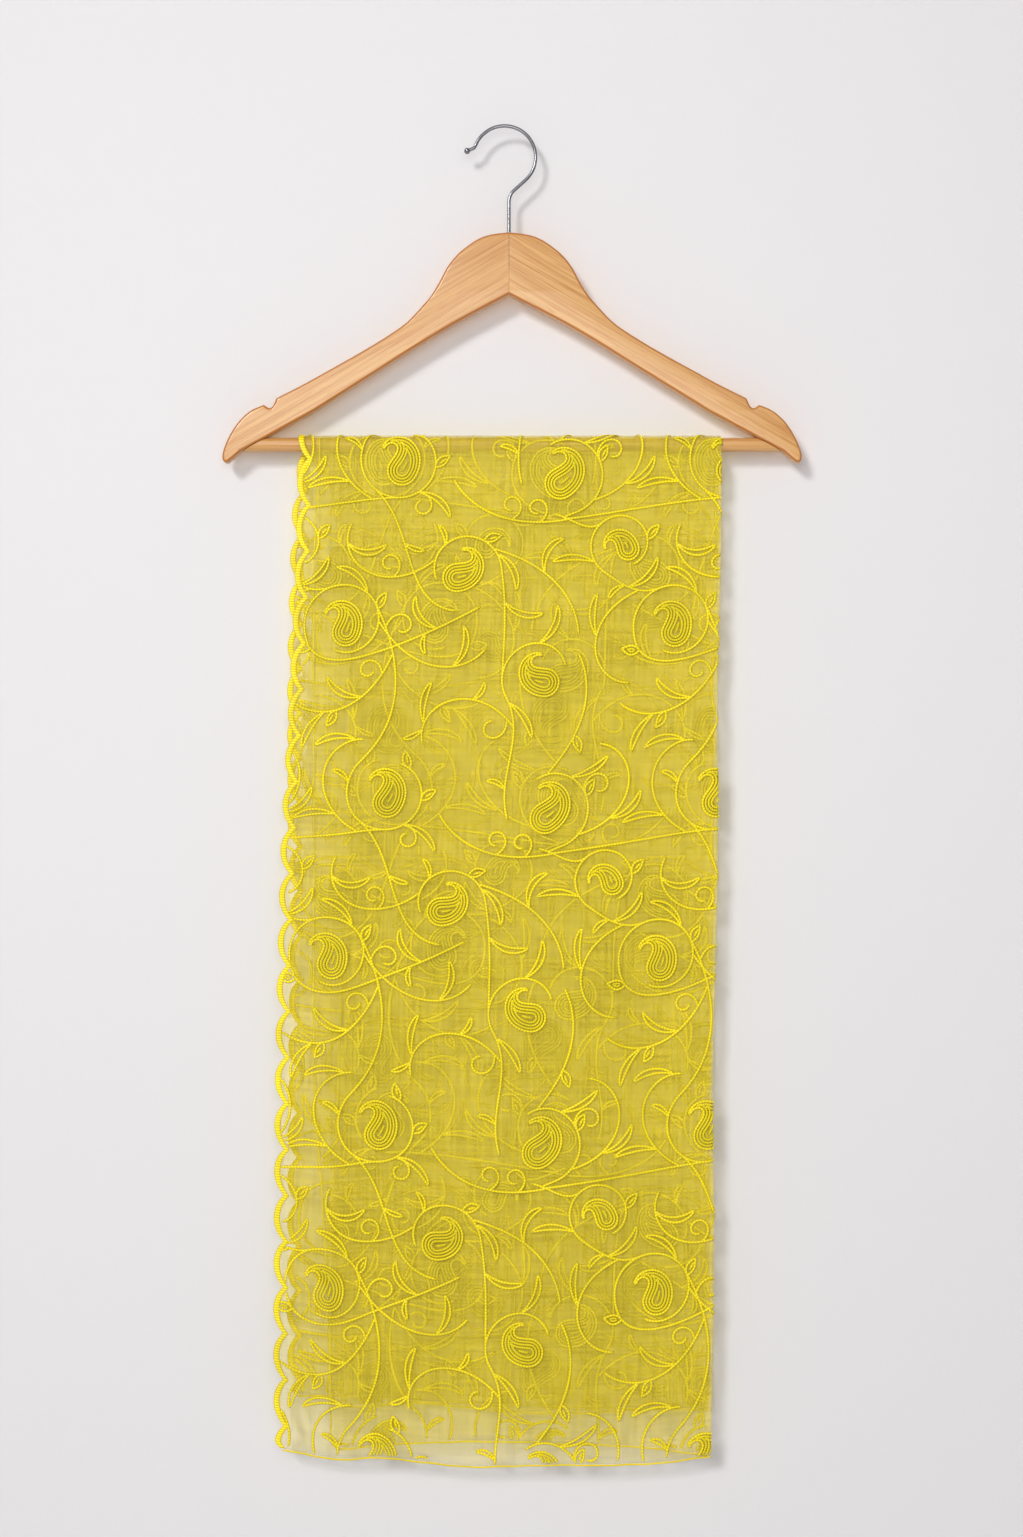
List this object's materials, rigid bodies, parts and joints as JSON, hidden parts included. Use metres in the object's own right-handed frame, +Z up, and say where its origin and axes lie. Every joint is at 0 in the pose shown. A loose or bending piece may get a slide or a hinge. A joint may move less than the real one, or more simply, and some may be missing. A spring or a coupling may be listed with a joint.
{
  "type": "dupatta stole on a coat hanger",
  "caption": "Sheer net stole with tonal vine and paisley embroidery and a scalloped side, folded lengthwise and hung over the bar of a wooden coat hanger with a wire hook.",
  "frame": {"origin": "inside top of the hook's crook, where the hanger hangs on a rail or peg", "axes": "+X to the viewer's right along the hanger bar, +Y back away from the viewer, +Z up"},
  "size_m": [0.445, 0.0237, 1.0312],
  "materials": {
    "net": "sheer woven net, slight sheen",
    "stitching": "lustrous embroidery thread",
    "wood": "clear satin lacquer",
    "wire": "bright plated wire"
  },
  "bodies": {
    "root": {"stole_front_fall": "net", "stole_over_bar": "net", "stole_back_fall": "net", "scallop_border_front": "stitching", "scallop_border_over_bar": "stitching", "scallop_border_back": "stitching", "end_hem_front": "stitching", "end_hem_back": "stitching", "side_hem_front": "stitching", "side_hem_over_bar": "stitching", "side_hem_back": "stitching", "hanger_arm_left": "wood", "hanger_arm_right": "wood", "hanger_bar": "wood", "hanger_hook": "wire"}
  },
  "joints": []
}
